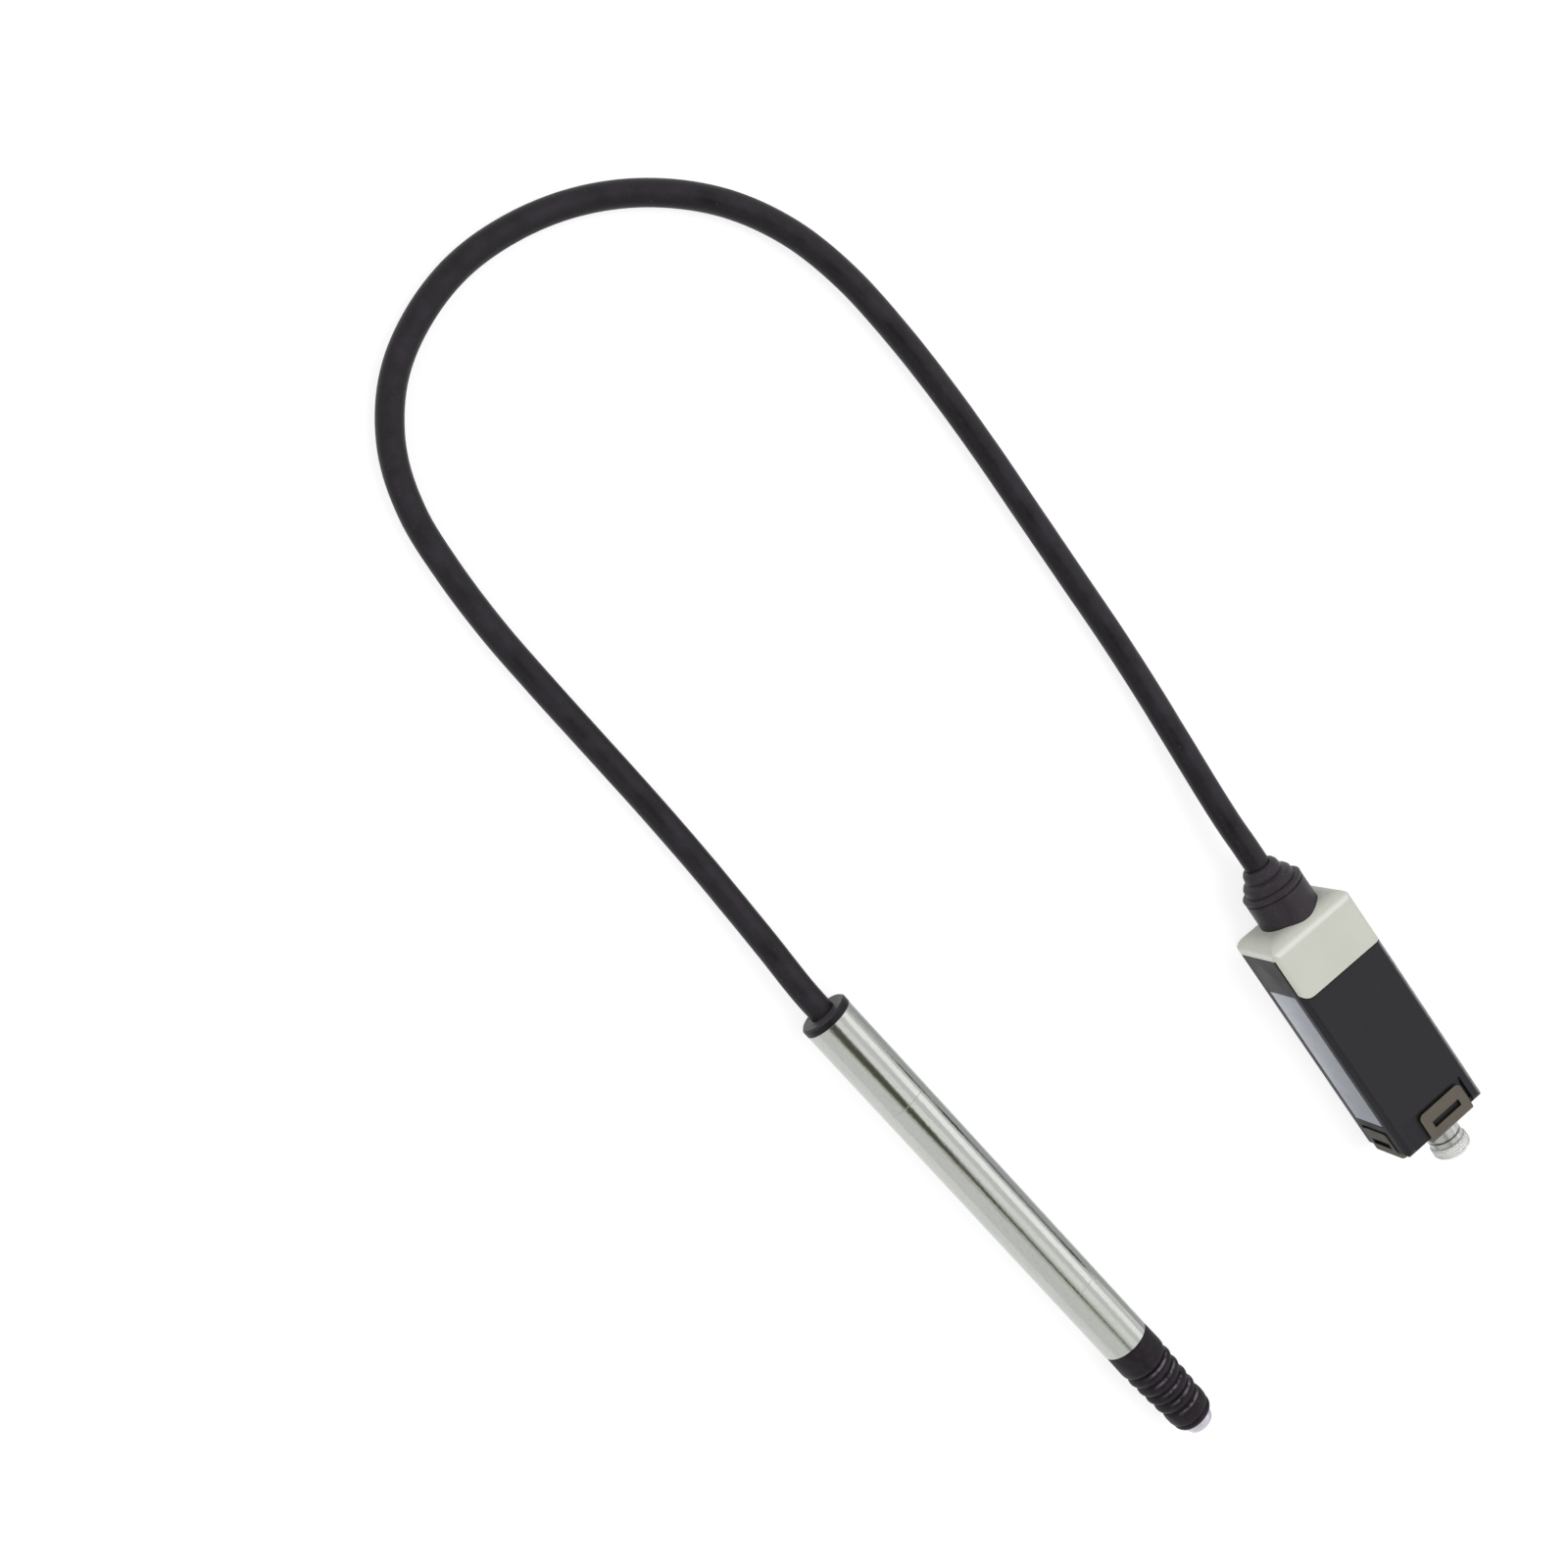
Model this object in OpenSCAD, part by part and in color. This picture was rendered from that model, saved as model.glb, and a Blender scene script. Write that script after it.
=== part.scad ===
// Pencil displacement sensor on a round steel stem, with its cable and relay box.
// The stem lies along X with the contact tip at +X, and Z is up.
// The origin is the middle of the stem's centre tube. Everything lies on the plane
// one stem radius below the origin.

/* [Stem] */
// Diameter of the steel stem
stem_d = 8; // [7.8:0.1:9]
// Wall of the stem's tubes
stem_wall = 0.6; // [0.45:0.05:0.65]
// Length of the rear sleeve
rear_len = 16.75; // [15:0.25:24]
// Length of the centre tube
tube_len = 40; // [38:1:56]
// Length of the nose sleeve
nose_len = 12.5; // [12:0.5:18]
// Length of the spigots that join the three tubes
spigot_len = 2.5; // [2:0.25:3]
// Wall of the rear spigot
spigot_wall = 0.6; // [0.4:0.05:0.8]
// Bevel where two tubes meet
seam_bevel = 0.06; // [0.02:0.02:0.2]
// Clearance between pieces that are pressed or screwed together
seat_gap = 0.02; // [0.01:0.01:0.04]

/* [Spindle] */
// Diameter of the sliding spindle
spindle_d = 3; // [2.6:0.1:3.2]
// Inward travel of the spindle
travel = 5; // [3:0.5:6]
// Diameter of the contact disc at the tip
tip_d = 5; // [4:0.25:6]
// Thickness of the contact disc
tip_t = 1.75; // [1.5:0.05:2.5]
// Diameter of the stud that holds the contact disc
stud_d = 1.6; // [1.2:0.1:1.8]
// Depth of the stud in the spindle
stud_len = 3; // [2:0.5:5]
// Length of the stop collar on the spindle
collar_len = 3; // [2.5:0.25:4]
// Diameter of the anti-rotation pin
pin_d = 0.8; // [0.6:0.1:1]
// Radial clearance between pieces that slide or roll on each other
slide_gap = 0.02; // [0.01:0.01:0.04]

/* [Ball guide] */
// Diameter of the balls
ball_d = 0.76; // [0.7:0.02:0.8]
// Rings of balls along the cage
ball_rings = 3; // [2:1:3]
// Balls in each ring
balls_per_ring = 6; // [4:1:8]
// Distance between the rings
ball_pitch = 2.5; // [2:0.25:3]
// Wall of the ball cage
cage_wall = 0.5; // [0.35:0.05:0.55]
// Rim of the cage past its last ring of balls
cage_rim = 1.3; // [1:0.1:1.5]
// Wall of the guide bush around the balls
bush_wall = 0.6; // [0.4:0.05:0.65]
// Thickness of the lip that holds the bush at the front
nose_lip = 1; // [0.8:0.1:1.2]

/* [Coil] */
// Length of the coil former
bobbin_len = 20.5; // [18:0.5:22]
// Diameter of the bore in the coil former
bobbin_bore = 3; // [2.8:0.1:3.2]
// Wall of the coil former's barrel
bobbin_wall = 0.4; // [0.3:0.05:0.5]
// Thickness of the coil former's flanges
flange_t = 0.8; // [0.5:0.1:1]
// Wall of the magnetic shield
shield_wall = 0.2; // [0.1:0.05:0.25]
// Length of the sliding core
core_len = 8; // [6:0.5:9]
// Diameter of the sliding core
core_d = 2.4; // [2:0.1:2.5]
// Diameter of the rod that carries the core
rod_d = 1; // [0.8:0.1:1.2]
// Depth of the rod in the spindle
rod_hold = 3; // [2:0.5:5]

/* [Spring] */
// Wire of the return spring
spring_wire = 0.36; // [0.3:0.02:0.4]
// Mean diameter of the return spring
spring_d = 3.4; // [3:0.1:3.6]
// Turns of the return spring
spring_turns = 7; // [5:1:8]
// Thickness of the spring seat
seat_t = 0.6; // [0.4:0.1:1]
// Wall of the guide sleeve around the spring
guide_wall = 0.9; // [0.7:0.05:1]
// Thickness of the stop washer
stop_t = 0.5; // [0.4:0.1:0.8]

/* [Boot] */
// Length of the rubber boot
boot_len = 17.4; // [17:0.2:21]
// Widest diameter of the boot's folds
boot_d = 7.96; // [7.6:0.02:7.98]
// Wall of the boot
boot_wall = 0.5; // [0.4:0.05:0.6]
// Depth of the boot's folds
fold_depth = 0.75; // [0.5:0.05:0.9]
// How much narrower the boot is at its last fold, in radius
boot_taper = 0.4; // [0:0.05:0.5]
// Number of folds between the collars
folds = 4; // [3:1:5]
// Length of the collar on the nose
boot_collar = 5.2; // [4.8:0.1:6]
// Length of the collar on the spindle
boot_cuff = 4; // [3.6:0.1:5]
// Length of the nose spigot inside the boot
boot_spigot = 3.4; // [3:0.1:4]
// Depth of the groove that holds the boot
boot_groove = 0.3; // [0.15:0.05:0.4]

/* [Cable] */
// Diameter of the cable
cable_d = 4; // [3.6:0.1:4.2]
// Thickness of the bush flange behind the stem
bush_flange = 1.2; // [0.8:0.1:2]
// Length of the bush inside the rear sleeve
bush_len = 5.5; // [5:0.25:7]
// Length of cable held inside the bush
cable_hold = 3.75; // [3:0.25:4.5]
// Diameter of one insulated lead
lead_d = 0.7; // [0.5:0.05:0.8]
// Thickness of the terminal disc
disc_t = 0.8; // [0.6:0.1:1.2]

/* [Relay box] */
// Length of the housing from its front rim to the port end
box_len = 39; // [36:1:50]
// Width of the box
box_w = 16.1; // [15.6:0.1:20]
// Height of the box
box_h = 11.5; // [11.3:0.1:14]
// Wall of the box
box_wall = 1.2; // [1:0.1:1.4]
// Radius of the box's long edges
edge_r = 1; // [0.6:0.1:1.4]
// Radius of the housing's port end
end_round = 1.2; // [0.6:0.1:1.4]
// Length of the cap's tongues on the wide faces
tongue_len = 8; // [6:0.2:9]
// Radius of the tongues' corners on the label side
tongue_r = 2.25; // [1:0.25:2.5]
// Thickness of the tongues over the housing's side wall
tongue_edge = 0.5; // [0.3:0.1:0.8]
// Length of the cap past the housing's rim
cap_len = 2.5; // [2.4:0.1:3.2]
// Radius of the cap's rounded end
cap_round = 2.4; // [1:0.2:2.4]
// Thickness of the cap's end wall
cap_wall = 2.4; // [2:0.1:2.4]
// Gap along the parting line
parting_gap = 0.15; // [0.05:0.05:0.25]
// Thickness of the cap's inner skirt
skirt_t = 0.7; // [0.5:0.1:0.9]
// Overlap of the skirt inside the housing
skirt_reach = 2; // [1:0.25:3]
// Turn of the box against the stem, in degrees
box_turn = -6; // [-6]

/* [Gland] */
// Diameter of the gland's base
gland_d = 9.9; // [9.4:0.1:10.2]
// Length of the gland's base
gland_base = 4.4; // [3:0.2:6]
// Thickness of the gland's lip
gland_lip = 1; // [0.6:0.1:1.6]
// Length of the gland's stepped nose
gland_nose = 3.6; // [3.2:0.1:5]
// Diameter of the gland's neck in the cap
gland_neck = 5.6; // [5.2:0.1:5.8]
// Depth of the gland's seat in the cap
gland_seat = 1.2; // [0.8:0.1:1.4]
// Sideways offset of the gland
gland_offset = 0.4; // [0.4]

/* [Label] */
// Distance of the bare side label from the housing's rim
label_start = 7.2; // [6:0.2:9]
// Gap between the label and the clip's ear
label_gap = 1.6; // [1:0.2:3]
// Height of the bare side label
label_h = 7.4; // [5:0.2:8]
// Thickness of the side label
label_t = 0.12; // [0.08:0.02:0.2]

/* [Port] */
// Diameter of the port's barrel
port_d = 5.6; // [5.2:0.1:6.4]
// Length of the port's barrel
port_len = 3.5; // [2.8:0.1:4.5]
// Diameter of the port's flange
port_flange_d = 7.2; // [6.8:0.1:8]
// Thickness of the port's flange
port_flange_t = 0.8; // [0.6:0.1:1.2]
// Diameter of the port's stem in the housing
port_stem_d = 5; // [4.8:0.1:5.2]
// Length of the port's stem inside the housing wall
port_stem_len = 2.6; // [2.4:0.1:4]
// Diameter of the insulating insert
insert_d = 4; // [3.6:0.1:4.2]
// Circle of the contacts
contact_circle = 2.2; // [2:0.1:2.4]
// Diameter of a contact
contact_d = 0.7; // [0.5:0.1:0.8]
// Depth of the bore in a contact
contact_bore = 3; // [2:0.25:3.5]
// Wall of the nut inside the housing
port_nut_wall = 1; // [0.7:0.1:1.1]
// Thickness of the nut inside the housing
port_nut_t = 1.2; // [1:0.1:1.6]
// Thickness of the sealing washer inside the housing
port_seal_t = 0.5; // [0.4:0.1:0.8]
// Sideways offset of the port and the clip
port_offset = 1.1; // [0:0.1:1.4]
// Wall of the clear protective plug
plug_wall = 0.45; // [0.35:0.05:0.6]
// Length of the clear plug outside the barrel
plug_len = 2; // [1.6:0.1:3]
// Length of the clear plug inside the barrel
plug_grip = 1.2; // [0.8:0.1:1.6]

/* [Clip] */
// Thickness of the folded clip
clip_t = 0.6; // [0.5:0.05:0.7]
// Depth of the recess that takes the clip's ears
clip_recess = 0.4; // [0.2:0.05:0.45]
// Width of the top ear
top_ear_w = 8.6; // [7.8:0.2:9.4]
// Width of the side ear
side_ear_w = 6.4; // [5:0.2:7]
// Length of the ears along the box
ear_len = 4.6; // [4:0.2:5]
// Length of the slots in the ears
slot_len = 5.6; // [4.6:0.2:5.8]
// Width of the slots in the ears
slot_w = 1.1; // [0.8:0.1:1.4]
// Radius of the ears' corners
ear_r = 0.9; // [0.5:0.1:1.2]
// Width of the raised corner beside the clip's seat
corner_w = 1.9; // [1.7:0.1:1.9]

/* [Board] */
// Distance of the amplifier board from the housing's rim
board_start = 5.7; // [4:0.1:6]
// Gap between the board and the port's stem
board_gap = 1.4; // [1:0.1:2]
// Thickness of the amplifier board
board_t = 1; // [0.8:0.1:1.2]
// Height of the rails that carry the board
rail_top = 3.4; // [3:0.1:3.5]
// Height of the two wire headers
header_h = 3.4; // [3:0.1:3.6]

/* [Hidden] */
$fn = 64;
eps = 0.01;

// The stem from rear to front
stem_r = stem_d / 2;
bore_r = stem_r - stem_wall;
rear_seam = -tube_len / 2;
front_seam = tube_len / 2;
rear_face = rear_seam - rear_len;
nose_face = front_seam + nose_len;
floor_z = -stem_r;

// The coil stack that is clamped inside the centre tube
coil_rear = rear_seam + spigot_len;
coil_front = coil_rear + bobbin_len;
seat_front = coil_front + seat_t;
stop_front = front_seam - spigot_len;
stop_rear = stop_front - stop_t;
stack_r = bore_r - seat_gap;
shield_in = stack_r - shield_wall;
coil_r = shield_in - seat_gap;
barrel_r = bobbin_bore / 2 + bobbin_wall;
chambers = 3;
chamber_len = (bobbin_len - (chambers + 1) * flange_t) / chambers;

// The ball guide in the nose
spindle_r = spindle_d / 2;
ball_r = ball_d / 2;
ball_circle_r = spindle_r + slide_gap + ball_r;
race_r = ball_circle_r + ball_r + slide_gap;
bush_r = race_r + bush_wall;
bush_front = nose_face - nose_lip;
cage_len = (ball_rings - 1) * ball_pitch + 2 * cage_rim;
cage_front = bush_front - 0.4;
cage_rear = cage_front - cage_len;
lip_r = spindle_r + 0.3;

// The sliding pieces at rest, pushed out against the stop washer
guide_in = stack_r - guide_wall;
collar_front = stop_rear;
collar_rear = collar_front - collar_len;
collar_r = guide_in - 0.1;
pin_x = collar_front - collar_len / 2;
pin_foot = rod_d / 2 + 0.2;
core_mid = (coil_rear + coil_front + travel) / 2;
core_rear = core_mid - core_len / 2;

// The boot and the tip
boot_r = boot_d / 2;
boot_in = boot_r - boot_wall;
spigot_r = boot_in - seat_gap - 0.2;
boot_end = nose_face + boot_len;
folds_start = nose_face + boot_collar;
folds_end = boot_end - boot_cuff;
cuff_r = boot_r - boot_taper - 0.05;
fold_pitch = (folds_end - folds_start) / folds;
fold_steps = 10;
groove_x = nose_face + boot_spigot * 0.35;
groove_len = boot_spigot * 0.3;

// The cable and its leads
cable_r = cable_d / 2;
lead_circle = lead_d * 0.9;
disc_x = rear_seam + 0.4 - disc_t;
bush_front_x = rear_face + bush_len;
cable_stop = rear_face + cable_hold;

// The relay box in its own frame: X runs from the cable to the port, Z is up from the floor
box_x = 5.3;
box_y = 62.4;
inner_w = box_w - 2 * box_wall;
inner_h = box_h - 2 * box_wall;
mid_h = box_h / 2;
cavity_end = box_len - box_wall - 0.1;
cap_rear = -cap_len;
cap_inner = cap_rear + cap_wall;
skirt_end = tongue_len + skirt_reach;
skirt_w = inner_w - 2 * parting_gap;
skirt_h = inner_h - 2 * parting_gap;
gland_rear = cap_rear - gland_base - gland_lip - gland_nose;
box_cable_end = 1;

// Board and wires
board_w = skirt_w - 2 * skirt_t - 0.2;
board_front = cavity_end - port_stem_len - board_gap;
board_rear = board_start;
board_len = board_front - board_rear;
board_top = rail_top + board_t;
rail_start = skirt_end + 0.3;
header_len = 2.4;
header_w = 5;

// Port and clip
clip_front = box_len + clip_t;
flange_front = clip_front + port_flange_t;
barrel_front = flange_front + port_len;
stem_rear = box_len - box_wall - 0.1 - port_stem_len;
contact_rear = stem_rear - 0.8;
insert_front = barrel_front - plug_grip - 0.2;
port_nut_r = port_stem_d / 2 + port_nut_wall;
ear_start = box_len - ear_len;
ear_mid = (ear_start + clip_front) / 2;
side_slot_len = side_ear_w - 1.6;
label_len = ear_start - label_gap - label_start;
bend_r = clip_t + 0.3;
recess_right = box_w / 2 - corner_w;
recess_left = box_w / 2 - corner_w + 0.15;

// The cable's route from the bush to the relay box, chosen by hand
route = [
  [cable_stop, 0, 0], [-38, 0, 0], [-43, 0.1, 0], [-50, 0.7, -0.6], [-58, 1.3, -1.5],
  [-67, 1.8, -1.9], [-78, 2.1, -1.9], [-89, 2.2, -1.9], [-100, 2.3, -1.9], [-110, 2.6, -1.9],
  [-120, 3.6, -1.9], [-129, 5.4, -1.9], [-137, 9.2, -1.9], [-143.5, 15.5, -1.9],
  [-147.5, 23.5, -1.9], [-149.3, 33, -1.9], [-148.3, 43, -1.9], [-145, 52.5, -1.9],
  [-139.5, 61, -1.9], [-132, 68, -1.9], [-123, 72.6, -1.9], [-113, 74.8, -1.9],
  [-102, 75.3, -1.9], [-91, 75, -1.9], [-80, 74.2, -1.9], [-69, 73.1, -1.9],
  [-58, 72, -1.9], [-47, 70.9, -1.9], [-37, 69.6, -1.8], [-28, 68, -1.2],
  [-20, 66.2, 0.2], [-14, 64.95, 1.3], [-9.66, 64.38, 1.75], [-4.66, 63.85, 1.75],
  [6.34, 62.7, 1.75]
];
rings_per_span = 2;
cable_sides = 12;

// A cylinder along X from one station to another
module rod(from, to, r) {
  translate([from, 0, 0])
    rotate([0, 90, 0])
      cylinder(h = to - from, r = r);
}

// A tube along X
module tube(from, to, outer, inner) {
  difference() {
    rod(from, to, outer);
    rod(from - 1, to + 1, inner);
  }
}

// A profile of [station, radius] points turned about the X axis
module turned(profile) {
  rotate([0, 90, 0])
    rotate([0, 0, 90])
      rotate_extrude()
        polygon([for (p = profile) [p[1], p[0]]]);
}

// Places the relay box on the floor beside the loop of the cable
module at_box() {
  translate([box_x, box_y, floor_z])
    rotate([0, 0, box_turn])
      children();
}

// A rod along the box at a given side offset and height
module box_rod(from, to, r, side = 0, up = mid_h) {
  translate([0, side, up])
    rod(from, to, r);
}

// A bar along X with a rounded rectangular section, centred on the box's axis
module rounded_bar(from, to, w, h, r) {
  translate([from, 0, mid_h])
    rotate([90, 0, 90])
      linear_extrude(to - from)
        union() {
          square([w - 2 * r, h], center = true);
          square([w, h - 2 * r], center = true);
          for (sy = [-1, 1], sz = [-1, 1])
            translate([sy * (w / 2 - r), sz * (h / 2 - r)])
              circle(r);
        }
}

// A strip along X with rounded corners at its far end, drawn in two directions
module rounded_end(from, to, w, r) {
  translate([from, -w / 2])
    square([to - r - from, w]);
  translate([from, -w / 2 + r])
    square([to - from, w - 2 * r]);
  for (side = [-1, 1])
    translate([to - r, side * (w / 2 - r)])
      circle(r);
}

// The outer form of the box up to an end that is rounded in plan and from the side
module box_form(from, to, r) {
  intersection() {
    rounded_bar(from, to, box_w, box_h, edge_r);
    translate([0, 0, -1])
      linear_extrude(box_h + 2)
        rounded_end(from - 1, to, box_w, r);
    translate([0, box_w / 2 + 1, mid_h])
      rotate([90, 0, 0])
        linear_extrude(box_w + 2)
          rounded_end(from - 1, to, box_h, r);
  }
}

// The four lead positions around an axis
function around(i, circle) = [circle * cos(45 + 90 * i), circle * sin(45 + 90 * i)];

module rear_sleeve() {
  color("gainsboro")
    turned([
      [rear_face, stem_r - seam_bevel],
      [rear_face + seam_bevel, stem_r],
      [rear_seam - seam_bevel, stem_r],
      [rear_seam, stem_r - seam_bevel],
      [rear_seam, bore_r - seat_gap],
      [rear_seam + spigot_len, bore_r - seat_gap],
      [rear_seam + spigot_len, bore_r - seat_gap - spigot_wall],
      [rear_seam, bore_r - seat_gap - spigot_wall],
      [rear_seam - 1, bore_r],
      [rear_face, bore_r]
    ]);
}

module main_tube() {
  color("silver")
    turned([
      [rear_seam, stem_r - seam_bevel],
      [rear_seam + seam_bevel, stem_r],
      [front_seam - seam_bevel, stem_r],
      [front_seam, stem_r - seam_bevel],
      [front_seam, bore_r],
      [rear_seam, bore_r]
    ]);
}

// The nose holds the ball guide, and its grooved spigot holds the boot
module nose_sleeve() {
  color("gainsboro")
    turned([
      [stop_front, bore_r - seat_gap],
      [front_seam, bore_r - seat_gap],
      [front_seam, stem_r - seam_bevel],
      [front_seam + seam_bevel, stem_r],
      [nose_face - seam_bevel, stem_r],
      [nose_face, stem_r - seam_bevel],
      [nose_face, spigot_r],
      [groove_x, spigot_r],
      [groove_x + 0.2, spigot_r - boot_groove],
      [groove_x + groove_len - 0.2, spigot_r - boot_groove],
      [groove_x + groove_len, spigot_r],
      [nose_face + boot_spigot - 0.3, spigot_r],
      [nose_face + boot_spigot, spigot_r - 0.3],
      [nose_face + boot_spigot, lip_r],
      [bush_front, lip_r],
      [bush_front, bush_r + seat_gap],
      [stop_front, bush_r + seat_gap]
    ]);
}

// The rubber bush closes the sleeve around the cable
module cable_bush() {
  color("dimgray")
    turned([
      [rear_face - bush_flange, cable_r + seat_gap],
      [rear_face - bush_flange, stem_r - 0.3],
      [rear_face - bush_flange + 0.3, stem_r],
      [rear_face, stem_r],
      [rear_face, bore_r - seat_gap],
      [bush_front_x, bore_r - seat_gap],
      [bush_front_x, lead_circle + lead_d],
      [cable_stop, lead_circle + lead_d],
      [cable_stop, cable_r + seat_gap]
    ]);
}

module terminal_disc() {
  color("darkgreen")
    difference() {
      rod(disc_x, disc_x + disc_t, bore_r - seat_gap - spigot_wall - seat_gap);
      for (i = [0:3])
        translate([0, around(i, lead_circle)[0], around(i, lead_circle)[1]])
          rod(disc_x - 1, disc_x + disc_t + 1, lead_d / 4);
    }
}

module lead_wires() {
  color("white")
    for (i = [0:3])
      translate([0, around(i, lead_circle)[0], around(i, lead_circle)[1]])
        rod(cable_stop, disc_x, lead_d / 2);
}

module coil_leads() {
  color("orangered")
    for (i = [0:3])
      translate([0, around(i, barrel_r)[0], around(i, barrel_r)[1]])
        rod(disc_x + disc_t, coil_rear, 0.15);
}

// The former has three winding chambers between four flanges
module coil_bobbin() {
  color("ivory")
    difference() {
      union() {
        rod(coil_rear, coil_front, barrel_r);
        for (i = [0:chambers])
          translate([i * (chamber_len + flange_t), 0, 0])
            rod(coil_rear, coil_rear + flange_t, coil_r);
      }
      rod(coil_rear - 1, coil_front + 1, bobbin_bore / 2);
    }
}

// One winding that fills a chamber of the former
module winding(i) {
  start = coil_rear + flange_t + i * (chamber_len + flange_t);
  tube(start + seat_gap, start + chamber_len - seat_gap, coil_r - 0.15, barrel_r + seat_gap);
}

module primary_winding() {
  color("peru") winding(1);
}

module secondary_windings() {
  color("sienna") {
    winding(0);
    winding(2);
  }
}

module shield_tube() {
  color("darkgray") tube(coil_rear, coil_front, stack_r, shield_in);
}

module spring_seat() {
  color("goldenrod") tube(coil_front, seat_front, stack_r, rod_d / 2 + 0.3);
}

// One point of the spring's wire section at an angle along the helix
function spring_point(turn, side) =
  let (
    r = spring_d / 2 + spring_wire / 2 * cos(side),
    run = collar_rear - seat_front - spring_wire - 2 * seat_gap,
    x = seat_front + seat_gap + spring_wire / 2 + run * turn / spring_turns
  )
  [x + spring_wire / 2 * sin(side), r * cos(360 * turn), r * sin(360 * turn)];

// A strip of triangles that joins rings of points, closed at both ends
function ring_faces(rings, sides) = concat(
  [for (i = [0:rings - 2], j = [0:sides - 1])
    [i * sides + j, i * sides + (j + 1) % sides, (i + 1) * sides + j]],
  [for (i = [0:rings - 2], j = [0:sides - 1])
    [i * sides + (j + 1) % sides, (i + 1) * sides + (j + 1) % sides, (i + 1) * sides + j]],
  [[for (j = [sides - 1:-1:0]) j]],
  [[for (j = [0:sides - 1]) (rings - 1) * sides + j]]
);

module return_spring() {
  steps = spring_turns * 16;
  sides = 6;
  points = [for (i = [0:steps], j = [0:sides - 1])
    spring_point(i / 16, 360 * j / sides)];
  color("lightsteelblue")
    polyhedron(points = points, faces = ring_faces(steps + 1, sides), convexity = 10);
}

// The sleeve around the spring has a slot that keeps the spindle from turning
module guide_sleeve() {
  color("tan")
    difference() {
      tube(seat_front, stop_rear, stack_r, guide_in);
      translate([pin_x - travel - pin_d, -pin_d / 2 - slide_gap, 0])
        cube([travel + collar_len + pin_d, pin_d + 2 * slide_gap, stem_r]);
    }
}

module stop_washer() {
  color("slategray") tube(stop_rear, stop_front, stack_r, spindle_r + 0.2);
}

module guide_bush() {
  color("lightgray") tube(stop_front, bush_front, bush_r, race_r);
}

// Places its children at every ball of the cage
module at_balls() {
  for (ring = [0:ball_rings - 1], i = [0:balls_per_ring - 1])
    translate([cage_rear + cage_rim + ring * ball_pitch, 0, 0])
      rotate([360 * (i + ring / 2) / balls_per_ring, 0, 0])
        translate([0, 0, ball_circle_r])
          children();
}

module ball_cage() {
  color("gold")
    difference() {
      tube(cage_rear, cage_front, ball_circle_r + cage_wall / 2, ball_circle_r - cage_wall / 2);
      at_balls()
        cylinder(h = ball_d, r = ball_r + slide_gap, center = true);
    }
}

module cage_balls() {
  color("whitesmoke")
    at_balls()
      sphere(r = ball_r);
}

module spindle() {
  color("lightgray")
    difference() {
      rod(collar_rear, boot_end, spindle_r);
      rod(collar_rear - 1, collar_rear + rod_hold + seat_gap, rod_d / 2 + seat_gap);
      rod(boot_end - stud_len - seat_gap, boot_end + 1, stud_d / 2 + seat_gap);
      translate([pin_x, 0, pin_foot - seat_gap])
        cylinder(h = spindle_r + 1, r = pin_d / 2 + seat_gap);
    }
}

module stop_collar() {
  color("goldenrod")
    difference() {
      tube(collar_rear, collar_front, collar_r, spindle_r + seat_gap);
      translate([pin_x, 0, 0])
        cylinder(h = stem_r, r = pin_d / 2 + seat_gap);
    }
}

module guide_pin() {
  color("gray")
    translate([pin_x, 0, pin_foot])
      cylinder(h = stack_r - 0.15 - pin_foot, r = pin_d / 2);
}

module core_rod() {
  color("silver") rod(core_rear + core_len, collar_rear + rod_hold, rod_d / 2);
}

module core() {
  color("dimgray") rod(core_rear, core_rear + core_len, core_d / 2);
}

// Radius of the boot at a place along its folds, with broad crests and narrow notches
function fold_r(u) = boot_r - fold_depth + fold_depth * pow(abs(sin(180 * u)), 0.6);
function fold_points(shrink) = [for (i = [0:folds * fold_steps])
  [folds_start + fold_pitch * i / fold_steps,
    fold_r(i / fold_steps) - shrink - boot_taper * i / folds / fold_steps]];
function backward(list) = [for (i = [len(list) - 1:-1:0]) list[i]];

// The rubber boot grips the nose spigot with a bead, and the spindle with its cuff
module boot() {
  outer = concat(
    [[nose_face + seat_gap, stem_r - seam_bevel - 0.1],
      [nose_face + 0.25, boot_r - 0.06],
      [folds_start - 1.2, boot_r],
      [folds_start - 0.5, boot_r - 0.12],
      [folds_start - 0.15, boot_r - 0.4]],
    fold_points(0),
    [[folds_end + 0.15, cuff_r - 0.35],
      [folds_end + 0.5, cuff_r - 0.12],
      [folds_end + 1.2, cuff_r],
      [boot_end - 1.5, cuff_r - 0.1],
      [boot_end - 1.2, cuff_r - 0.35],
      [boot_end - 1, cuff_r - 0.2],
      [boot_end - 0.4, cuff_r - 0.3],
      [boot_end - 0.1, cuff_r - 0.6],
      [boot_end, cuff_r - 0.9]]
  );
  inner = concat(
    [[nose_face + seat_gap, spigot_r + seat_gap],
      [groove_x, spigot_r + seat_gap],
      [groove_x + 0.2 + seat_gap, spigot_r - boot_groove + seat_gap],
      [groove_x + groove_len - 0.2 - seat_gap, spigot_r - boot_groove + seat_gap],
      [groove_x + groove_len, spigot_r + seat_gap],
      [folds_start - 0.8, spigot_r + seat_gap]],
    fold_points(boot_wall),
    [[folds_end + 0.6, boot_in - fold_depth - boot_taper],
      [folds_end + 1, spindle_r + seat_gap],
      [boot_end, spindle_r + seat_gap]]
  );
  color("black") turned(concat(outer, backward(inner)));
}

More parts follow.
